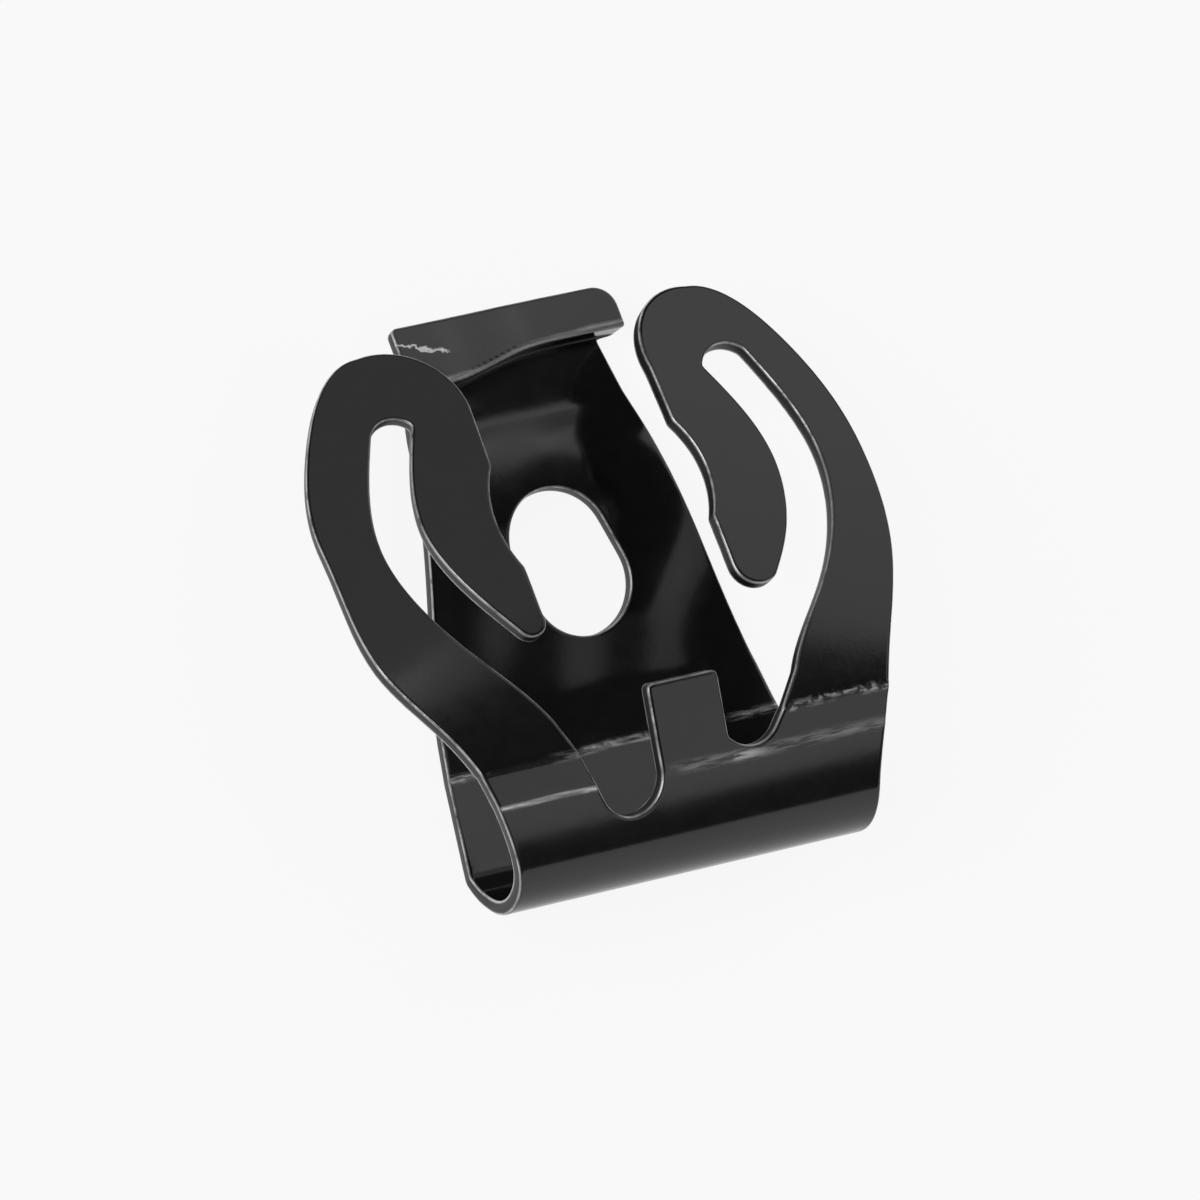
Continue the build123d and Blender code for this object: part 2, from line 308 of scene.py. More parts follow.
lengths_back = sections["middle"][1][: turning_back + 1]
heights_back = sections["middle"][0][: turning_back + 1, 0]
KNEE_SAG = 0.26
KNEE_SAG_FROM, KNEE_SAG_TO = 1.0, -3.0
KNEE_SAG_SOFTNESS = 0.5
FOOT_SHARE = 0.85
SAG_FADE = 1.5
FOOT_ROOM = 0.8
turns_at = [lengths_back[turning_back - index] for index in (knee_ends, knee_starts, foot_ends)]
foot_starts_at = float(np.interp(FOOT_ROOM - PLATE_END, -heights_back, lengths_back))
SAG_AT = (turns_at[0], turns_at[1], turns_at[2], foot_starts_at, foot_starts_at + SAG_FADE)
SAG_SHARES = (1, 1, FOOT_SHARE, FOOT_SHARE, 0)


def softly_above(value):
    return KNEE_SAG_SOFTNESS * np.log1p(np.exp(value / KNEE_SAG_SOFTNESS))


def sag(x, length):
    """how far the sheet that is folded as the section at a length slips down the plate"""
    depth = KNEE_SAG * (softly_above(KNEE_SAG_FROM - x) - softly_above(KNEE_SAG_TO - x))
    return depth * np.interp(length, SAG_AT, SAG_SHARES)


def folded_as(x, place):
    """length along the section that a place on the blank is folded as"""
    lengths = np.array(place, float)
    for index in np.flatnonzero(lengths < SAG_AT[-1]):
        slipped = lengths_back + sag(x[index], lengths_back)
        lengths[index] = np.interp(lengths[index], slipped, lengths_back)
    return lengths


def back_length(x, y):
    sagging = sag(x, lengths_back)
    return float(np.interp(-y, sagging - heights_back, lengths_back + sagging))


FRONT_LENGTHS = np.linspace(
    sections["middle"][1][turning_back], sections["middle"][1][-1], 1200
)
front_heights = {
    name: np.interp(FRONT_LENGTHS, lengths, points[:, 0])
    for name, (points, lengths) in sections.items()
}


def front_length(x, y):
    outer = min(abs(x) / OUTER_AT, 1)
    side = front_heights["right" if x > 0 else "left"]
    heights = (1 - outer) * front_heights["middle"] + outer * side
    heights = heights + tab_share(x) * (front_heights["tab"] - heights)
    return np.interp(y, heights, FRONT_LENGTHS)


# %% [markdown]
# ## Drawing the outline
# Three kinds of line are enough: straight ones, arcs through three points, and smooth curves
# through a few points. They are sampled densely, joined into one closed loop, and the loop
# is softened a little, because a punch never leaves a corner truly sharp.

# %% Lines, arcs and curves
SAMPLE = 0.05


def straight(*corners):
    pieces = []
    for a, b in zip(corners[:-1], corners[1:]):
        a, b = np.array(a, float), np.array(b, float)
        count = max(1, ceil(np.linalg.norm(b - a) / SAMPLE))
        pieces.append(a + (b - a) * np.linspace(0, 1, count, endpoint=False)[:, None])
    return np.concatenate(pieces)


def round_about(centre, radius, start, end):
    """arc round a centre between two angles in radians"""
    count = max(2, ceil(abs(end - start) * radius / SAMPLE))
    angles = np.linspace(start, end, count, endpoint=False)
    return np.array(centre) + radius * np.stack((np.cos(angles), np.sin(angles)), 1)


def arc(a, b, c):
    """arc from a over b to c"""
    a, b, c = (complex(*p) for p in (a, b, c))
    w = (c - a) / (b - a)
    centre = (b - a) * (w - abs(w) ** 2) / (2j * w.imag) + a
    radius = abs(a - centre)
    start, over, end = (np.angle(p - centre) for p in (a, b, c))
    turn, part = (end - start) % (2 * pi), (over - start) % (2 * pi)
    end = start + (turn if part < turn else turn - 2 * pi)
    return round_about((centre.real, centre.imag), radius, start, end)


def curve(*points, start=None, end=None):
    """smooth curve through points, leaving and arriving in given directions"""
    points = np.array(points, float)
    spans = np.linalg.norm(np.diff(points, axis=0), axis=1)
    count = len(points)
    matrix, values = np.zeros((count, count)), np.zeros((count, 2))
    for i in range(1, count - 1):
        before, after = spans[i - 1], spans[i]
        matrix[i, i - 1 : i + 2] = after, 2 * (before + after), before
        values[i] = 3 * after / before * (points[i] - points[i - 1])
        values[i] += 3 * before / after * (points[i + 1] - points[i])
    for row, near, first, direction in ((0, 1, 0, start), (-1, -2, count - 2, end)):
        if direction is None:
            matrix[row, row], matrix[row, near] = 2, 1
            values[row] = 3 * (points[first + 1] - points[first]) / spans[first]
        else:
            matrix[row, row] = 1
            values[row] = np.array(direction) / np.linalg.norm(direction)
    slopes = np.linalg.solve(matrix, values)
    pieces = []
    for i, span in enumerate(spans):
        t = np.linspace(0, 1, max(2, ceil(span / SAMPLE)), endpoint=False)[:, None]
        pieces.append(
            (2 * t**3 - 3 * t**2 + 1) * points[i]
            + (t**3 - 2 * t**2 + t) * span * slopes[i]
            + (3 * t**2 - 2 * t**3) * points[i + 1]
            + (t**3 - t**2) * span * slopes[i + 1]
        )
    return np.concatenate(pieces)


# %% Arm, notches and tab seen from the front
def arm_outline(arm):
    """right side from the roll up the arm, round head and finger to the foot of the strut"""

    def at(*names):
        return [arm[name] for name in names]

    up, inwards, down = (0, 1), (-1, 0), (-1, -2)
    return np.concatenate(
        (
            curve(*at("roll", "hip", "shoulder", "flank", "reach"), start=up, end=up),
            curve(*at("reach", "brow", "head"), start=up, end=inwards),
            arc(*at("head", "curl", "neck")),
            straight(*at("neck", "upper kink")),
            arc(*at("upper kink", "hollow", "lower kink")),
            straight(*at("lower kink", "tip inner")),
            arc(*at("tip inner", "tip end", "tip outer")),
            curve(*at("tip outer", "finger side", "finger belly", "slot inner")),
            arc(*at("slot inner", "slot end", "slot outer")),
            curve(*at("slot outer", "strut upper", "strut lower", "strut foot"), end=down),
        )
    )


def notch_outline(strut_foot, tab_edge, floor, radius, entry):
    """right notch from the foot of the strut round its floor to the edge of the tab"""
    middle = (tab_edge + radius * cos(radians(entry)), floor + radius)
    across = np.array(strut_foot) - middle
    distance = np.linalg.norm(across)
    flare = np.arctan2(across[1], across[0]) - acos(radius / distance)
    touch = np.array(middle) + radius * np.array((cos(flare), sin(flare)))
    end = radians(entry - 180)
    return np.concatenate(
        (straight(strut_foot, touch), round_about(middle, radius, flare, end))
    )


def mirrored(points):
    return points[::-1] * (-1, 1)


def corner(x, y, radius, quarter):
    """quarter round in a corner, where quarter counts from the one at the right top"""
    signs = ((1, 1), (-1, 1), (-1, -1), (1, -1))[quarter]
    centre = (x - signs[0] * radius, y - signs[1] * radius)
    start = quarter * pi / 2
    return round_about(centre, radius, start, start + pi / 2)


right_notch = notch_outline(
    RIGHT_ARM["strut foot"], TAB_RIGHT, RIGHT_NOTCH, RIGHT_NOTCH_RADIUS, RIGHT_NOTCH_ENTRY
)
left_notch = notch_outline(
    LEFT_ARM["strut foot"], -TAB_LEFT, LEFT_NOTCH, LEFT_NOTCH_RADIUS, LEFT_NOTCH_ENTRY
)
right_notch_end = (TAB_RIGHT, right_notch[-1][1])
left_notch_end = (TAB_LEFT, left_notch[-1][1])
front_line = np.concatenate(
    (
        arm_outline(RIGHT_ARM),
        right_notch,
        straight(right_notch_end, (TAB_RIGHT, TAB_TOP - TAB_CORNER)),
        corner(TAB_RIGHT, TAB_TOP, TAB_CORNER, 0),
        corner(TAB_LEFT, TAB_TOP, TAB_CORNER, 1),
        straight((TAB_LEFT, TAB_TOP - TAB_CORNER), left_notch_end),
        mirrored(left_notch),
        mirrored(arm_outline(LEFT_ARM)),
    )
)
print("front line:", len(front_line), "samples")

# %% Back seen from the front: both edges of the plate and the lip
LIP_CORNER = 1.1
LIP_UNDER_CORNER = 0.6
LIP_LEFT_CORNER = 0.25
LIP_UNDER_EDGE = 26.1
RIGHT_END, LEFT_END = (5.06, 26.0), (-5.49, 24.7)


right_edge = straight(
    RIGHT_END, (SIDE_BEND_RIGHT, SIDE_BEND_AT), (ROLL_HALF_WIDTH, ROLL_RADIUS)
)
left_edge = straight(
    (-ROLL_HALF_WIDTH, SHEET),
    BACK_LEG_LEFT,
    (SIDE_BEND_LEFT, SIDE_BEND_AT),
    LEFT_END,
)
lip_top_line = np.concatenate(
    (corner(LIP_RIGHT, LIP_TOP, LIP_CORNER, 0), corner(LIP_LEFT, LIP_TOP, LIP_LEFT_CORNER, 1))
)[::-1]
lip_line = np.concatenate(
    (
        straight((LIP_LEFT, LEFT_END[1]), (LIP_LEFT, LIP_TOP - LIP_LEFT_CORNER)),
        lip_top_line,
        corner(LIP_RIGHT, LIP_UNDER_EDGE, LIP_UNDER_CORNER, 3)[::-1],
        straight((LIP_RIGHT - LIP_UNDER_CORNER, LIP_UNDER_EDGE), RIGHT_END),
    )
)
print("lip:", len(lip_line), "samples")

# %% The blank as closed loops
LOOP_SPACING = 0.16
LOOP_SPACING_IN_BENDS = 0.05
ROW_TURN = radians(4.5)
SOFTEN = 0.07


def bend_at(lengths_wanted):
    """how fast the sheet turns at lengths along it, in radians per millimetre"""
    fastest = np.zeros(np.shape(lengths_wanted))
    for name in ("middle", "right", "left"):
        points, lengths = sections[name]
        steps = np.diff(points, axis=0)
        headings = np.unwrap(np.arctan2(steps[:, 1], steps[:, 0]))
        bends = np.abs(np.diff(headings)) / np.maximum(np.diff(lengths)[1:], 1e-6)
        fastest = np.maximum(fastest, np.interp(lengths_wanted, lengths[1:-1], bends))
    return fastest


def closed(points, spacing, spacing_in_bends=None):
    """the same closed loop with evenly spaced points, closer where the sheet bends"""
    ring = np.concatenate((points, points[:1]))
    steps = np.linalg.norm(np.diff(ring, axis=0), axis=1)
    if spacing_in_bends:
        bends = bend_at(folded_as(*((ring[1:] + ring[:-1]) / 2).T))
        spacing = np.clip(ROW_TURN / np.maximum(bends, 1e-6), spacing_in_bends, spacing)
    shares = np.concatenate(([0], np.cumsum(steps / spacing)))
    wanted = np.linspace(0, shares[-1], ceil(shares[-1]), endpoint=False)
    return np.stack([np.interp(wanted, shares, ring[:, axis]) for axis in (0, 1)], 1)


def softened(points, reach):
    """rounds every corner of an evenly spaced loop a little"""
    spread = reach / SAMPLE
    offsets = np.arange(-ceil(3 * spread), ceil(3 * spread) + 1)
    weights = np.exp(-((offsets / spread) ** 2) / 2)
    weights /= weights.sum()
    return sum(w * np.roll(points, o, axis=0) for w, o in zip(weights, offsets))


def on_blank(points, length_at):
    return np.array([(x, length_at(x, y)) for x, y in points])


outer_loop = np.concatenate(
    (
        on_blank(right_edge, back_length),
        on_blank(front_line, front_length),
        on_blank(left_edge, back_length),
        on_blank(lip_line, back_length),
    )
)
hole_turn = radians(90 + HOLE_SLANT)
hole_reach = (HOLE_LENGTH - HOLE_WIDTH) / 2 * np.array((cos(hole_turn), sin(hole_turn)))
hole_round = np.concatenate(
    [
        round_about(HOLE_AT + side * hole_reach, HOLE_WIDTH / 2, start, start + pi)
        for side, start in ((1, hole_turn - pi / 2), (-1, hole_turn + pi / 2))
    ]
)
hole_loop = on_blank(closed(hole_round, SAMPLE), back_length)


def signed_area(points):
    x, s = points.T
    return float(np.sum(x * np.roll(s, -1) - np.roll(x, -1) * s) / 2)


def prepared(points, turning):
    """even, softened loop that has the sheet on its left"""
    if signed_area(points) * turning < 0:
        points = points[::-1]
    even = softened(closed(points, SAMPLE), SOFTEN)
    return closed(even, LOOP_SPACING, LOOP_SPACING_IN_BENDS)


loops = [prepared(outer_loop, 1), prepared(hole_loop, -1)]
print("loops:", [len(loop) for loop in loops], "area", round(sum(map(signed_area, loops)), 1))

# %% [markdown]
# ## A sheared edge
# A punch rounds the edge that it enters and leaves the other one nearly sharp. On a black
# part those thin rounds catch the light, so they are modelled: a few rings of points follow
# the outline, each a little further in or lower. The first and the last ring lie flat on
# the faces of the sheet and keep the shading of the faces flat up to the edge.

# %% Rings that follow the outline
RIM_FRONT_ROUND = 0.12
RIM_BACK_ROUND = 0.06
RIM_SUPPORT = 0.2
ROUND_STEPS = 4


def inward(loop):
    """unit directions into the sheet, which lies on the left of the loop"""
    along = np.roll(loop, -1, axis=0) - np.roll(loop, 1, axis=0)
    along /= np.linalg.norm(along, axis=1)[:, None]
    return np.stack((-along[:, 1], along[:, 0]), 1)


def rim_profile():
    """(inset, height) of each ring from the front face round the edge to the back face"""
    angles = np.linspace(0, pi / 2, ROUND_STEPS)
    front = [
        (RIM_FRONT_ROUND * (1 - sin(a)), HALF_SHEET - RIM_FRONT_ROUND * (1 - cos(a)))
        for a in angles
    ]
    back = [
        (RIM_BACK_ROUND * (1 - sin(a)), RIM_BACK_ROUND * (1 - cos(a)) - HALF_SHEET)
        for a in angles[::-1]
    ]
    return [(RIM_SUPPORT, HALF_SHEET), *front, *back, (RIM_SUPPORT, -HALF_SHEET)]


profile = rim_profile()
starts = np.concatenate(([0], np.cumsum([len(loop) for loop in loops])))
edge = np.concatenate(loops)
into = np.concatenate([inward(loop) for loop in loops])
following = np.concatenate(
    [np.roll(np.arange(a, b), -1) for a, b in zip(starts[:-1], starts[1:])]
)
flat_ring = edge + into * RIM_SUPPORT
print("rim:", len(profile), "rings of", len(edge), "points")

# %% [markdown]
# ## Filling the faces
# The two faces of the sheet are covered with an even net of points in staggered rows. The
# rows are closer together where the sheet will be bent, so that a crease turns by small
# steps. A Delaunay triangulation joins the net to the rings. It also fills the notches and the
# stud slot, but there all three corners of a triangle lie on one loop and run the wrong way
# round it, which tells those triangles from the ones in the sheet.

# %% Net of points inside the rings
NET_SPACING = 0.34
BEND_ROW = 0.03
LEVEL_ROW = 0.15
NET_CLEAR = 0.12


def inside(points):
    """which points lie inside the flat rings, by counting crossings"""
    x0, s0 = flat_ring.T
    x1, s1 = flat_ring[following].T
    count = np.zeros(len(points), int)
    for a, b, c, d in zip(x0, s0, x1, s1):
        crosses = (b > points[:, 1]) != (d > points[:, 1])
        if b != d:
            at = a + (points[:, 1] - b) / (d - b) * (c - a)
            count += crosses & (points[:, 0] < at)
    return count % 2 == 1


def gap_to_edge(points, ring):
    """distance from each point to the nearest point of a ring"""
    gaps = np.full(len(points), np.inf)
    for part in range(0, len(ring), 200):
        block = ring[part : part + 200]
        squares = ((points[:, None] - block[None]) ** 2).sum(2)
        gaps = np.minimum(gaps, squares.min(1))
    return np.sqrt(gaps)


def row_places():
    """lengths along the sheet of the rows, closer where it turns faster"""
    total = sections["right"][1][-1]
    places, at = [], 0.0
    while at < total:
        places.append(at)
        bend = float(bend_at(np.array((at, at + NET_SPACING / 2))).max())
        at += float(np.clip(ROW_TURN / max(bend, 1e-6), BEND_ROW, NET_SPACING))
    return np.array(places)


rows = row_places()
row_gaps = np.diff(rows, append=rows[-1] + NET_SPACING)
across = np.arange(-OUTER_AT, OUTER_AT, NET_SPACING)
net = []
for number, (row, row_gap) in enumerate(zip(rows, row_gaps)):
    stagger = NET_SPACING / 2 * (number % 2) if row_gap > LEVEL_ROW else 0
    net += [(x + stagger, row + float(sag(x + stagger, row))) for x in across]
net = np.array(net)
net = net[inside(net)]
net = net[gap_to_edge(net, flat_ring) > NET_CLEAR]
print("net:", len(net), "points in", len(rows), "rows")

# %% Triangles of a face
ring_count = len(flat_ring)
all_flat = np.concatenate((flat_ring, net))
verts, _, triangles, origins, _, _ = delaunay_2d_cdt(
    [Vector(p) for p in all_flat],
    [(i, int(following[i])) for i in range(ring_count)],
    [],
    0,
    1e-6,
)
first_origin = np.array([o[0] if o else -1 for o in origins])
triangles = first_origin[np.array(triangles)]
loop_of = np.searchsorted(starts[1:], triangles, side="right")
on_one_loop = (loop_of == loop_of[:, :1]).all(1) & (loop_of[:, 0] < len(loops))
lowest_first = (triangles.argmin(1)[:, None] + np.arange(3)) % 3
_, second, third = np.take_along_axis(triangles, lowest_first, 1).T
face_triangles = triangles[~on_one_loop | (second < third)]
print("one face:", len(face_triangles), "triangles,", sum(first_origin < 0), "stray points")

# %% [markdown]
# ## A plate that is never quite flat
# A pressed plate springs back into a very slight crown with a few low ripples. A tenth of a
# millimetre is too little to see as a shape, but a glossy coat shows it, because it bends the
# edges of the reflections. So the blank gets this small unevenness before it is folded.

# %% Crown and ripples of the plate
CROWN_RADIUS, CROWN_AT = 600.0, 3.0
CROWN_HEIGHT = 0.13
CROWN_FADE = 2.5
RIPPLES = ((0.012, 1.3, 0.5), (0.01, -0.6, 0.9))  # height, turn per mm across and along
PLATE_SPAN = (SAG_AT[-1], float(np.interp(-PLATE_CREASE, -heights_back, lengths_back)))


def crown(x, length):
    """how far the plate stands off its section: bulged across, fading out at both its ends"""
    ends = smoothstep((length - PLATE_SPAN[0]) / CROWN_FADE)
    ends = ends * smoothstep((PLATE_SPAN[1] - length) / CROWN_FADE)
    ripple = sum(rise * np.sin(turn_x * x + turn * length) for rise, turn_x, turn in RIPPLES)
    return ends * (CROWN_HEIGHT - (x - CROWN_AT) ** 2 / (2 * CROWN_RADIUS) + ripple)


print("plate crowned from", *np.round(PLATE_SPAN, 2), "mm along the sheet")

# %% The flat blank as one closed mesh
ring_points = [
    np.column_stack((edge + into * inset, np.full(ring_count, height)))
    for inset, height in profile
]
net_faces = [
    np.column_stack((net, np.full(len(net), height))) for height in (HALF_SHEET, -HALF_SHEET)
]
blank_points = np.concatenate((*ring_points, *net_faces))
last_ring = (len(profile) - 1) * ring_count
front_net = len(profile) * ring_count
back_net = front_net + len(net)


def numbered(faces, ring_start, net_start):
    """face triangles with the numbers that their corners have in the whole mesh"""
    return np.where(faces < ring_count, faces + ring_start, faces - ring_count + net_start)


front_faces = numbered(face_triangles, 0, front_net)
back_faces = numbered(face_triangles, last_ring, back_net)[:, ::-1]
rim_faces = []
for ring in range(len(profile) - 1):
    here = np.arange(ring_count) + ring * ring_count
    there = following + ring * ring_count
    rim_faces.append(np.stack((here, here + ring_count, there + ring_count, there), 1))
rim_faces = np.concatenate(rim_faces)

blank_mesh = bpy.data.meshes.new("blank")
formed_points = blank_points - crown(*blank_points[:, :2].T)[:, None] * (0, 0, 1)
all_faces = [*front_faces.tolist(), *back_faces.tolist(), *rim_faces.tolist()]
blank_mesh.from_pydata((formed_points * MM).tolist(), [], all_faces)
edge_gap = gap_to_edge(blank_points[:, :2], edge)
edge_gap[: front_net] = np.repeat([inset for inset, _ in profile], ring_count)
gap_layer = blank_mesh.attributes.new("edge_gap", "FLOAT", "POINT")
gap_layer.data.foreach_set("value", edge_gap.astype(np.float32))
as_section = folded_as(*blank_points[:, :2].T)
length_layer = blank_mesh.attributes.new("section_length", "FLOAT", "POINT")
length_layer.data.foreach_set("value", (as_section * MM).astype(np.float32))
place_layer = blank_mesh.attributes.new("blank_place", "FLOAT_VECTOR", "POINT")
place_layer.data.foreach_set("vector", blank_points.astype(np.float32).ravel())
blank = bpy.data.objects.new("blank", blank_mesh)
bpy.context.scene.collection.objects.link(blank)
print("blank:", len(blank_points), "points,", len(blank_mesh.polygons), "faces")

# %% [markdown]
# ## Folding the blank
# The fold is a small Geometry Nodes tree. For every point of the blank it looks up the place
# and the direction of three section curves at that length, mixes them by where the point
# lies across the clip, and lifts the point off the section by its height in the sheet.
# A height above the middle is on the outside of the fold: the front of the arms and the roll,
# but the underside of the plate and the lip. Changing a section refolds the whole clip, and
# the sheet keeps its thickness.

# %% The sections as curves
def section_curve(name):
    points, _ = sections[name]
    curve_data = bpy.data.curves.new(name + "_section", "CURVE")
    curve_data.dimensions = "3D"
    spline = curve_data.splines.new("POLY")
    spline.points.add(len(points) - 1)
    places = [(0, (y - REACH_BACK / 2) * MM, z * MM, 1) for y, z in points]
    spline.points.foreach_set("co", np.array(places).ravel())
    spline.points.foreach_set("radius", front_stand[name])
    holder = bpy.data.objects.new(name + "_section", curve_data)
    bpy.context.scene.collection.objects.link(holder)
    return holder


section_objects = {name: section_curve(name) for name in sections}

# %% A small helper to write node trees as expressions
class Field:
    """a socket of a node tree that takes part in sums, products and comparisons"""

    def __init__(self, tree, socket):
        self.tree, self.socket = tree, socket

    def node(self, kind, settings=(), values=(), out=0):
        return add_node(self.tree, kind, settings, values, out)

    def math(self, operation, *others):
        return self.node("ShaderNodeMath", {"operation": operation}, [self, *others])

    def __add__(self, other):
        return self.math("ADD", other)

    def __sub__(self, other):
        return self.math("SUBTRACT", other)

    def __mul__(self, other):
        return self.math("MULTIPLY", other)

    def __truediv__(self, other):
        return self.math("DIVIDE", other)

    def __rsub__(self, other):
        return self.node("ShaderNodeMath", {"operation": "SUBTRACT"}, [other, self])

    def __neg__(self):
        return self * -1

    __radd__ = __add__
    __rmul__ = __mul__


def add_node(tree, kind, settings=(), values=(), out=0):
    """adds a node, sets it, fills its sockets in order or by name, and gives one output"""
    node = tree.nodes.new(kind)
    for name, value in dict(settings).items():
        setattr(node, name, value)
    pairs = values.items() if isinstance(values, dict) else enumerate(values)
    for key, value in pairs:
        socket = node.inputs[key]
        if isinstance(value, Field):
            tree.links.new(value.socket, socket)
        else:
            socket.default_value = value
    return Field(tree, node.outputs[out])


def smooth_step(field):
    """0 below 0, 1 above 1 and smooth between"""
    return field.node(
        "ShaderNodeMapRange", {"interpolation_type": "SMOOTHSTEP"}, {"Value": field}
    )


# %% The tree that folds
FOLD_INPUTS = {
    "Middle Section": ("NodeSocketObject", section_objects["middle"]),
    "Right Section": ("NodeSocketObject", section_objects["right"]),
    "Left Section": ("NodeSocketObject", section_objects["left"]),
    "Tab Section": ("NodeSocketObject", section_objects["tab"]),
    "Outer At": ("NodeSocketFloat", OUTER_AT * MM),
    "Tab Middle": ("NodeSocketFloat", (TAB_LEFT + TAB_RIGHT) / 2 * MM),
    "Tab Half Width": ("NodeSocketFloat", (TAB_RIGHT - TAB_LEFT) / 2 * MM),
    "Tab Fade": ("NodeSocketFloat", TAB_FADE * MM),
    "Coat": ("NodeSocketMaterial", None),
}


def fold_tree():
    tree = bpy.data.node_groups.new("fold_the_blank", "GeometryNodeTree")
    face = tree.interface
    face.new_socket("Geometry", in_out="INPUT", socket_type="NodeSocketGeometry")
    face.new_socket("Geometry", in_out="OUTPUT", socket_type="NodeSocketGeometry")
    for name, (kind, _) in FOLD_INPUTS.items():
        face.new_socket(name, in_out="INPUT", socket_type=kind)
    given = tree.nodes.new("NodeGroupInput")
    size = {name: Field(tree, given.outputs[name]) for name in FOLD_INPUTS}

    position = add_node(tree, "GeometryNodeInputPosition")
    parts = position.node("ShaderNodeSeparateXYZ", (), [position]).socket.node
    x, length, height = (Field(tree, parts.outputs[i]) for i in range(3))

    def vector_math(operation, *values):
        return add_node(tree, "ShaderNodeVectorMath", {"operation": operation}, values)

    def scaled(vector, factor):
        values = {0: vector, "Scale": factor}
        return add_node(tree, "ShaderNodeVectorMath", {"operation": "SCALE"}, values)

    def mixed(a, b, share):
        return add_node(
            tree, "ShaderNodeMix", {"data_type": "VECTOR"}, {0: share, 4: a, 5: b}, out=1
        )

    # where the lip's step sags, a point is folded as the section is a little further along
    looked_up = add_node(
        tree, "GeometryNodeInputNamedAttribute", (), {"Name": "section_length"}
    )
    radius = add_node(tree, "GeometryNodeInputRadius")
    sagging = length - looked_up

    def sampled(name):
        curve_of = add_node(
            tree,
            "GeometryNodeObjectInfo",
            {"transform_space": "ORIGINAL"},
            {"Object": size[name]},
            out="Geometry",
        )
        sample = add_node(
            tree,
            "GeometryNodeSampleCurve",
            {"mode": "LENGTH"},
            {"Curves": curve_of, "Length": looked_up, "Value": radius},
        ).socket.node
        return [Field(tree, sample.outputs[out]) for out in ("Position", "Tangent", "Value")]

    middle_place, middle_way, stand = sampled("Middle Section")
    right_place, right_way, _ = sampled("Right Section")
    left_place, left_way, _ = sampled("Left Section")
    on_right = x.math("GREATER_THAN", 0.0)
    outer_place = mixed(left_place, right_place, on_right)
    outer_way = mixed(left_way, right_way, on_right)
    tab_place, tab_way, _ = sampled("Tab Section")

    outer_share = x.math("ABSOLUTE") / size["Outer At"]
    from_tab = (x - size["Tab Middle"]).math("ABSOLUTE") - size["Tab Half Width"]
    tab_part = 1 - smooth_step(from_tab / size["Tab Fade"])
    place = mixed(mixed(middle_place, outer_place, outer_share), tab_place, tab_part)
    way = mixed(mixed(middle_way, outer_way, outer_share), tab_way, tab_part)

    # the twist leans the sheet sideways, so its normal follows both directions
    lean = x.math("SIGN") / size["Outer At"] * (1 - tab_part)
    fall = scaled(vector_math("SUBTRACT", outer_place, middle_place), lean)
    sideways = vector_math("ADD", fall, (1, 0, 0))
    normal = vector_math("NORMALIZE", vector_math("CROSS_PRODUCT", sideways, way))
    corner_side = height.math("MINIMUM", 0.0) * stand
    hollow_side = height.math("MAXIMUM", 0.0) * (1 + HOLLOW_PULL - stand * HOLLOW_PULL)
    lifted = scaled(normal, corner_side + hollow_side)
    moved = add_node(tree, "ShaderNodeCombineXYZ", (), {0: x, 1: -sagging})
    folded = vector_math("ADD", vector_math("ADD", place, lifted), moved)

    sheet = Field(tree, given.outputs["Geometry"])
    sheet = add_node(
        tree, "GeometryNodeSetPosition", (), {"Geometry": sheet, "Position": folded}
    )
    sheet = add_node(tree, "GeometryNodeSetShadeSmooth", (), {"Geometry": sheet})
    sheet = add_node(tree, "GeometryNodeRealizeInstances", (), {"Geometry": sheet})
    sheet = add_node(
        tree, "GeometryNodeSetMaterial", (), {"Geometry": sheet, "Material": size["Coat"]}
    )
    result = tree.nodes.new("NodeGroupOutput")
    tree.links.new(sheet.socket, result.inputs[0])
    return tree


fold = fold_tree()
print("fold tree:", len(fold.nodes), "nodes")

# %% [markdown]
# ## The black coat
# The clip is dipped or sprayed black over spring steel. The coat is thin, a little uneven and
# half glossy. Where the sheet was creased and along the sheared edges it is worn lighter. A
# painted highlight in the same bare-steel colour runs along the knee of the lip, and a faint
# painted sheen lies over the lip's front.

# %% Where the coat is worn, and where a highlight and a sheen are painted
section_points, section_lengths = sections["middle"]


def crease_length(height, after):
    """length along the section of the middle of the crease at a height, front or back"""
    half = slice(turning_back, None) if after else slice(0, turning_back + 1)
    order = 1 if after else -1
    return float(
        np.interp(order * height, order * section_points[half, 0], section_lengths[half])
    )


LOWER_CREASE = crease_length(CREASE_AT, True)
UPPER_CREASE = crease_length(ARM_CREASE_AT, True)
BACK_CREASE = crease_length(PLATE_CREASE, False)
KNEE = float(lengths_back[turning_back - (knee_starts + knee_ends) // 2])
TURNING_AT = float(lengths_back[turning_back])
print("creases at", [round(c, 2) for c in (LOWER_CREASE, UPPER_CREASE, BACK_CREASE, KNEE)])

# %% How wide and how strong the wear and the painted highlight and sheen are
# the knee entries are a painted highlight along the knee of the lip and the lip entry is a
# painted sheen over the lip's front; the rest is wear
WEAR_AND_HIGHLIGHT_WIDTH = {"lower": 0.42, "left streak": 0.16, "upper": 0.28, "back": 0.34, "knee": 0.12}
BARE_AND_PAINTED_LIGHT_SHARE = {
    "lower": 0.3, "tab side": 0.35, "left streak": 0.3, "left streak, broken": 0.6,
    "right arm": 0.75, "left arm": 0.35, "knee": 0.5, "lip": 0.02,
}
STARTS_ACROSS = {  # how far from the middle wear starts and is full
    "lower": (-2.0, 0.0), "tab side": (1.8, 2.2), "tab side ends": (2.6, 4.0),
    "left streak": (3.2, 4.4), "arm": (3.3, 3.8), "left arm ends": (6.5, 7.5),
    "tear": (2.9, 3.3),
}
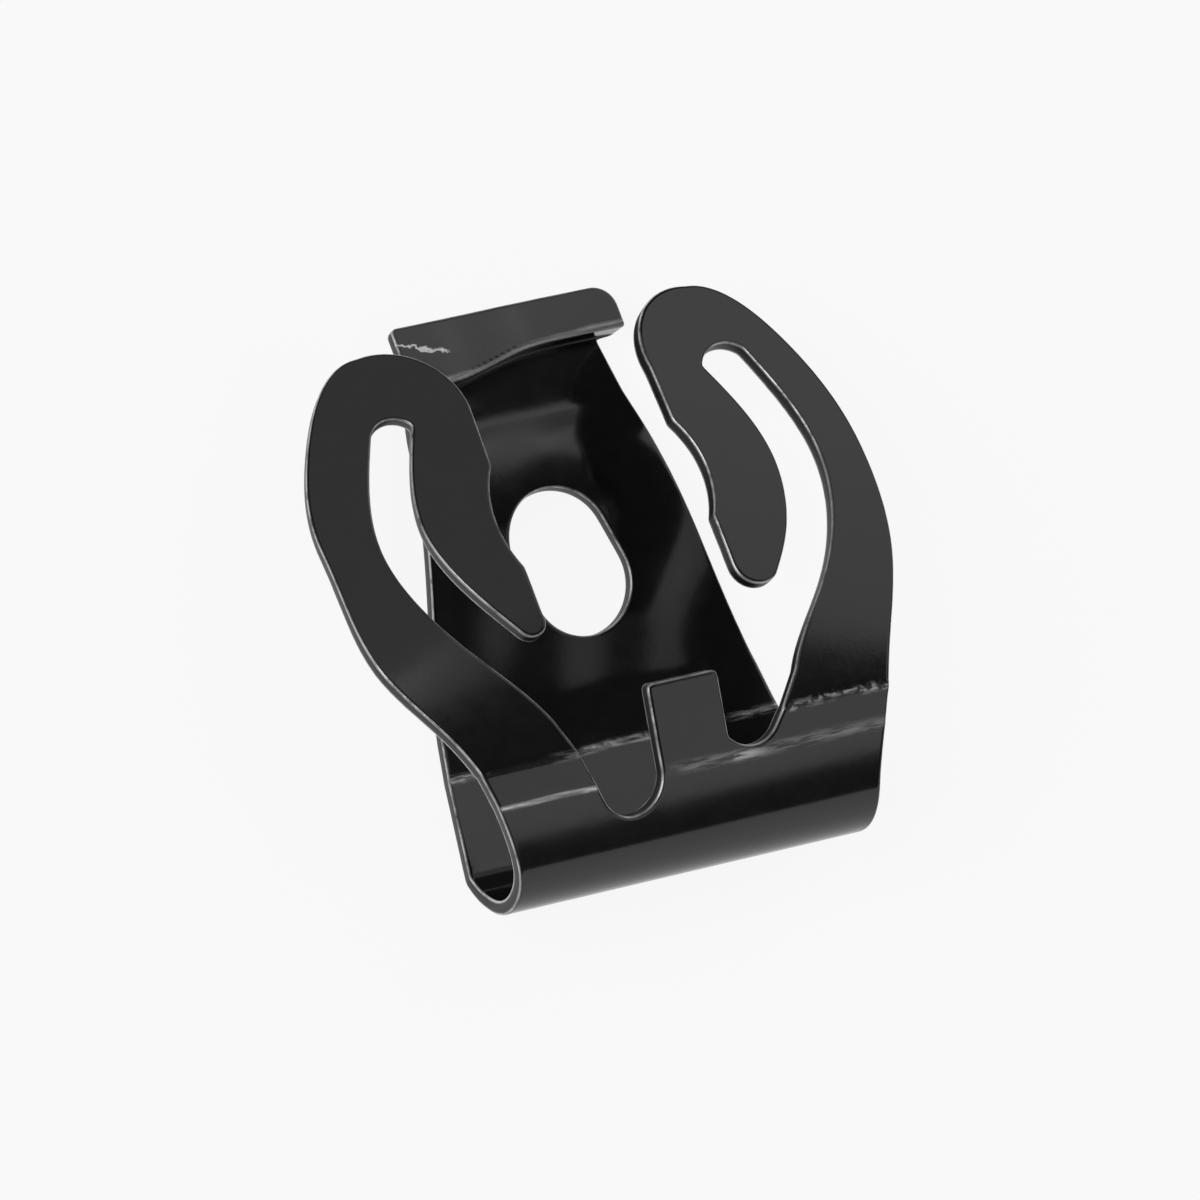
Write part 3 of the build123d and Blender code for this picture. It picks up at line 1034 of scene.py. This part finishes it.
STARTS_IN_NOISE = {
    "broken": (0.35, 0.62), "right arm": (0.42, 0.6), "back": (0.3, 0.6), "rim": (0.2, 0.6),
}
TEAR_AT, TEAR_SLANT, TEAR_RAGGED = KNEE + 0.24, 0.4, 0.7
TEAR_EDGE = (0.03, 0.12)
# where the painted sheen on the lip's front starts, just above the knee
LIP_SHEEN_EDGE = (-KNEE, 0.1 - KNEE)
CREASE_WAVER = 0.22
FACE_HEIGHT, WALL_HEIGHT, RIM_HEIGHT = (0.1, 0.3), (0.24, 0.34), (0.18, 0.28)
WALL_GAP, RIM_GAP = (0.0, 0.05), (0.02, 0.1)
NOISES = {  # scale, detail, roughness
    "clouds": (260.0, 3.0, 0.5), "mottle": (1100.0, 4.0, 0.6), "ragged": (2400.0, 2.0, 0.6),
    "grain": (5200.0, 3.0, 0.6), "streaks": (5200.0, 3.0, 0.6),
}
STREAK_DRAW = (0.12, 1, 1)
print("tear in the coat at", round(TEAR_AT, 2), "mm, noises:", *NOISES)

# %% Masks of the coat
def coat_masks(tree):
    """where steel shows and where a highlight and a sheen are painted, where the sheet was
    sheared, and two noises that finish the coat
    """

    def attribute(name, out="Fac"):
        return add_node(tree, "ShaderNodeAttribute", {"attribute_name": name}, out=out)

    gap, length = attribute("edge_gap"), attribute("section_length") / MM
    on_blank = attribute("blank_place", "Vector")
    apart = on_blank.node("ShaderNodeSeparateXYZ", (), [on_blank]).socket.node
    x, _, height = (Field(tree, apart.outputs[i]) for i in range(3))
    place = add_node(tree, "ShaderNodeTexCoord", out="Object")
    drawn = place.node("ShaderNodeVectorMath", {"operation": "MULTIPLY"}, [place, STREAK_DRAW])

    def noise(name):
        scale, detail, roughness = NOISES[name]
        vector = drawn if name == "streaks" else place
        values = {"Vector": vector, "Scale": scale, "Detail": detail, "Roughness": roughness}
        return add_node(tree, "ShaderNodeTexNoise", {"noise_dimensions": "3D"}, values)

    def between(value, low, high):
        values = {"Value": value, "From Min": low, "From Max": high}
        return value.node("ShaderNodeMapRange", {"interpolation_type": "SMOOTHSTEP"}, values)

    def near(middle, width):
        """1 on a line across the sheet, fading to 0 at its width"""
        return 1 - between((length - middle).math("ABSOLUTE"), 0.0, width)

    def across(value, name):
        return between(value, *STARTS_ACROSS[name])

    def largest(first, *others):
        for other in others:
            first = first.math("MAXIMUM", other)
        return first

    clouds, mottle, grain, ragged, streaks = map(
        noise, ("clouds", "mottle", "grain", "ragged", "streaks")
    )
    depth = height.math("ABSOLUTE")
    on_front = between(height * (length - TURNING_AT).math("SIGN"), *FACE_HEIGHT)
    on_wall = (1 - between(depth, *WALL_HEIGHT)) * (1 - between(gap, *WALL_GAP))
    length = length + (clouds - 0.5) * CREASE_WAVER
    broken = between(streaks, *STARTS_IN_NOISE["broken"])

    tab_side = across(x, "tab side") * (1 - across(x, "tab side ends"))
    lower = across(x, "lower") * BARE_AND_PAINTED_LIGHT_SHARE["lower"] + tab_side * BARE_AND_PAINTED_LIGHT_SHARE["tab side"]
    lower = near(LOWER_CREASE, WEAR_AND_HIGHLIGHT_WIDTH["lower"]) * lower * broken
    streak = broken * BARE_AND_PAINTED_LIGHT_SHARE["left streak, broken"] + BARE_AND_PAINTED_LIGHT_SHARE["left streak"]
    streak = near(LOWER_CREASE, WEAR_AND_HIGHLIGHT_WIDTH["left streak"]) * across(-x, "left streak") * streak
    right_arm = across(x, "arm") * between(ragged, *STARTS_IN_NOISE["right arm"])
    left_arm = across(-x, "arm") * (1 - across(-x, "left arm ends"))
    arms = right_arm * BARE_AND_PAINTED_LIGHT_SHARE["right arm"] + left_arm * BARE_AND_PAINTED_LIGHT_SHARE["left arm"]
    upper = near(UPPER_CREASE, WEAR_AND_HIGHLIGHT_WIDTH["upper"]) * arms * broken
    back = between(mottle, *STARTS_IN_NOISE["back"])
    back = near(BACK_CREASE, WEAR_AND_HIGHLIGHT_WIDTH["back"]) * back * broken
    # painted highlight: an even line of bare-steel colour along the knee, where the bend
    # catches the light
    knee = near(KNEE, WEAR_AND_HIGHLIGHT_WIDTH["knee"]) * BARE_AND_PAINTED_LIGHT_SHARE["knee"]
    # painted sheen: the whole front of the lip made a little lighter, as where it catches the
    # light
    lip = between(-length, *LIP_SHEEN_EDGE) * BARE_AND_PAINTED_LIGHT_SHARE["lip"]
    torn = length - TEAR_AT - x * TEAR_SLANT + (ragged - 0.5) * TEAR_RAGGED
    torn = (1 - between(torn.math("ABSOLUTE"), *TEAR_EDGE)) * across(-x, "tear")
    # the painted highlight on the knee and the painted sheen on the lip are taken in with the
    # crease wear
    creases = largest(lower, streak, upper, back, knee, torn, lip) * on_front

    rim = (1 - between(gap, *RIM_GAP)) * between(depth, *RIM_HEIGHT)
    rim = rim * between(mottle, *STARTS_IN_NOISE["rim"])
    return largest(creases, rim).math("MINIMUM", 1.0), on_wall, mottle, grain


# %% Coated steel
COAT_DARK = (0.0035, 0.0035, 0.0037, 1)
COAT_LIGHT = (0.009, 0.009, 0.0093, 1)
# bare steel where the coat is worn; the same colour paints the highlight on the knee and the
# sheen on the lip
BARE_STEEL_AND_HIGHLIGHT = (0.62, 0.62, 0.63, 1)
BARE_STEEL_METALLIC = 0.8
ROUGHNESS = {"coat": 0.08, "mottle": 0.08, "wear_and_highlight": 0.2, "wall": 0.35}
PEEL_STRENGTH, PEEL_DISTANCE = 0.1, 0.00002
GRAIN_SHARE, MOTTLE_SHARE = 0.6, 0.4


def coated_steel():
    material = bpy.data.materials.new("coated_steel")
    material.use_nodes = True
    tree = material.node_tree
    tree.nodes.clear()
    wear_and_highlight, on_wall, mottle, grain = coat_masks(tree)

    def mixed(a, b, share):
        values = {0: share, 6: a, 7: b}
        return add_node(tree, "ShaderNodeMix", {"data_type": "RGBA"}, values, out=2)

    peel = {
        "Strength": PEEL_STRENGTH,
        "Distance": PEEL_DISTANCE,
        "Height": grain * GRAIN_SHARE + mottle * MOTTLE_SHARE,
    }
    roughness = ROUGHNESS["coat"] + mottle * ROUGHNESS["mottle"]
    roughness = roughness + wear_and_highlight * ROUGHNESS["wear_and_highlight"] + on_wall * ROUGHNESS["wall"]
    # the bare-steel mix carries the wear and also the painted highlight on the knee and the
    # painted sheen on the lip
    values = {
        "Base Color": mixed(mixed(COAT_DARK, COAT_LIGHT, mottle), BARE_STEEL_AND_HIGHLIGHT, wear_and_highlight),
        "Roughness": roughness,
        "Metallic": wear_and_highlight * BARE_STEEL_METALLIC,
        "IOR": 1.5,
        "Normal": add_node(tree, "ShaderNodeBump", (), peel),
    }
    surface = add_node(tree, "ShaderNodeBsdfPrincipled", (), values)
    output = tree.nodes.new("ShaderNodeOutputMaterial")
    tree.links.new(surface.socket, output.inputs["Surface"])
    return material


coat = coated_steel()

# %% Fold the blank and keep the result as a plain mesh
fold_modifier = blank.modifiers.new("fold", "NODES")
fold_modifier.node_group = fold
FOLD_INPUTS["Coat"] = ("NodeSocketMaterial", coat)
identifiers = {
    item.name: item.identifier
    for item in fold.interface.items_tree
    if item.in_out == "INPUT"
}
for name, (_, value) in FOLD_INPUTS.items():
    fold_modifier[identifiers[name]] = value

depsgraph = bpy.context.evaluated_depsgraph_get()
clip_mesh = bpy.data.meshes.new_from_object(
    blank.evaluated_get(depsgraph), preserve_all_data_layers=True, depsgraph=depsgraph
)
clip_mesh.name = "folded_clip"
folded_clip = bpy.data.objects.new("folded_clip", clip_mesh)
bpy.context.scene.collection.objects.link(folded_clip)
for helper in (blank, *section_objects.values()):
    bpy.data.objects.remove(helper)
places = np.empty(len(clip_mesh.vertices) * 3, np.float32)
clip_mesh.vertices.foreach_get("co", places)
places = places.reshape(-1, 3) / MM
print("folded clip, mm:", places.min(0).round(2), places.max(0).round(2))

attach(folded_clip, "root")
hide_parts("spring_clip")

# %% [markdown]
# ## Floor, light and camera
# A small black part needs large soft lights, because what shows on it is mostly reflection.
# Each softbox is placed where one face of the clip mirrors it to the camera: the right arm,
# the left arm, the rise of the plate, the stem with the tab, and the front of the roll. The
# one on the left lights the sheared edges. The gaps between them give the dark bands.

# %% Floor
FLOOR_SIZE = 3.0
FLOOR_GAP = 0.00002
FLOOR_GLOW, FLOOR_MIRRORED = 0.9, 0.95
PAPER = (0.9, 0.9, 0.9, 1)
WHITE = (1, 1, 1, 1)


def rays_of(tree):
    """1 for rays that see a surface directly, and 1 for those that see it in a reflection"""
    rays = tree.nodes.new("ShaderNodeLightPath")
    kinds = "Is Camera Ray", "Is Glossy Ray", "Is Transmission Ray"
    camera_ray, glossy, through = (Field(tree, rays.outputs[kind]) for kind in kinds)
    return camera_ray, glossy.math("MAXIMUM", through)


def white_floor():
    material = bpy.data.materials.new("white_floor")
    material.use_nodes = True
    tree = material.node_tree
    tree.nodes.clear()
    paper = add_node(tree, "ShaderNodeBsdfDiffuse", (), {"Color": PAPER})
    glow = add_node(tree, "ShaderNodeEmission", (), {"Color": WHITE, "Strength": 1.0})
    camera_ray, mirrored_ray = rays_of(tree)
    seen = (camera_ray * FLOOR_GLOW).math("MAXIMUM", mirrored_ray * FLOOR_MIRRORED)
    both = add_node(tree, "ShaderNodeMixShader", (), {0: seen, 1: paper, 2: glow})
    output = tree.nodes.new("ShaderNodeOutputMaterial")
    tree.links.new(both.socket, output.inputs["Surface"])
    return material


floor_mesh = bpy.data.meshes.new("floor")
half = FLOOR_SIZE / 2
floor_corners = ((-half, -half), (half, -half), (half, half), (-half, half))
floor_mesh.from_pydata([(x, y, -FLOOR_GAP) for x, y in floor_corners], [], [(0, 1, 2, 3)])
floor_mesh.materials.append(white_floor())
floor = bpy.data.objects.new("floor", floor_mesh)
bpy.context.scene.collection.objects.link(floor)

# %% World
WORLD_STRENGTH, WORLD_MIRRORED = 0.03, 0.03
world = bpy.data.worlds.new("studio")
bpy.context.scene.world = world
world.use_nodes = True
sky = world.node_tree
sky.nodes.clear()
dim = add_node(sky, "ShaderNodeBackground", (), {0: WHITE, 1: WORLD_STRENGTH})
bright = add_node(sky, "ShaderNodeBackground", (), {0: WHITE, 1: 1.0})
camera_ray, mirrored_ray = rays_of(sky)
seen = camera_ray.math("MAXIMUM", mirrored_ray * WORLD_MIRRORED)
backdrop = add_node(sky, "ShaderNodeMixShader", (), {0: seen, 1: dim, 2: bright})
world_output = sky.nodes.new("ShaderNodeOutputWorld")
sky.links.new(backdrop.socket, world_output.inputs["Surface"])

# %% Softboxes
# name: direction from the clip (azimuth, elevation), half angles (across, up), radiance
SOFTBOXES = {
    "right": ((33, 39), (14, 16.5), 1.0),
    "back": ((73, 52), (14, 15), 0.6),
    "above": ((-4, 57), (8, 7), 0.6),
    "overhead": ((-42, 51), (20, 9.5), 1.05),
    "front": ((-62, 14), (35, 15), 0.95),
    "left": ((172, 42), (20, 20), 3.0),
}
DISTANCE = 1.0


def softbox(name, direction, half_angles, radiance):
    azimuth, elevation = (radians(angle) for angle in direction)
    flat = cos(elevation)
    towards = Vector((flat * cos(azimuth), flat * sin(azimuth), sin(elevation)))
    size = [2 * DISTANCE * tan(radians(angle)) for angle in half_angles]
    lamp = bpy.data.lights.new(name, "AREA")
    lamp.shape = "RECTANGLE"
    lamp.size, lamp.size_y = size
    lamp.energy = radiance * pi * size[0] * size[1]
    holder = bpy.data.objects.new(name, lamp)
    bpy.context.scene.collection.objects.link(holder)
    holder.location = towards * DISTANCE
    holder.rotation_mode = "QUATERNION"
    holder.rotation_quaternion = (-towards).to_track_quat("-Z", "Y")


for name, box in SOFTBOXES.items():
    softbox("softbox_" + name, *box)
print(len(SOFTBOXES), "softboxes")

# %% Camera
CAMERA_PLACE = (-223.02, -64.23, 453.11)
CAMERA_RIGHT = (0.87618, -0.27489, 0.39590)
CAMERA_UP = (0.19461, 0.95325, 0.23119)
CAMERA_BACK = (-0.44094, -0.12552, 0.88872)
SENSOR = 36.0
LENS = 325.16

camera_data = bpy.data.cameras.new("camera")
camera_data.sensor_width = SENSOR
camera_data.lens = LENS
camera_data.clip_start = 0.05
camera_data.clip_end = 20
camera = bpy.data.objects.new("camera", camera_data)
bpy.context.scene.collection.objects.link(camera)
turned = Matrix((CAMERA_RIGHT, CAMERA_UP, CAMERA_BACK)).transposed().to_4x4()
camera.matrix_world = Matrix.Translation(Vector(CAMERA_PLACE) * MM) @ turned
bpy.context.scene.camera = camera
bpy.context.scene.view_settings.view_transform = "Standard"
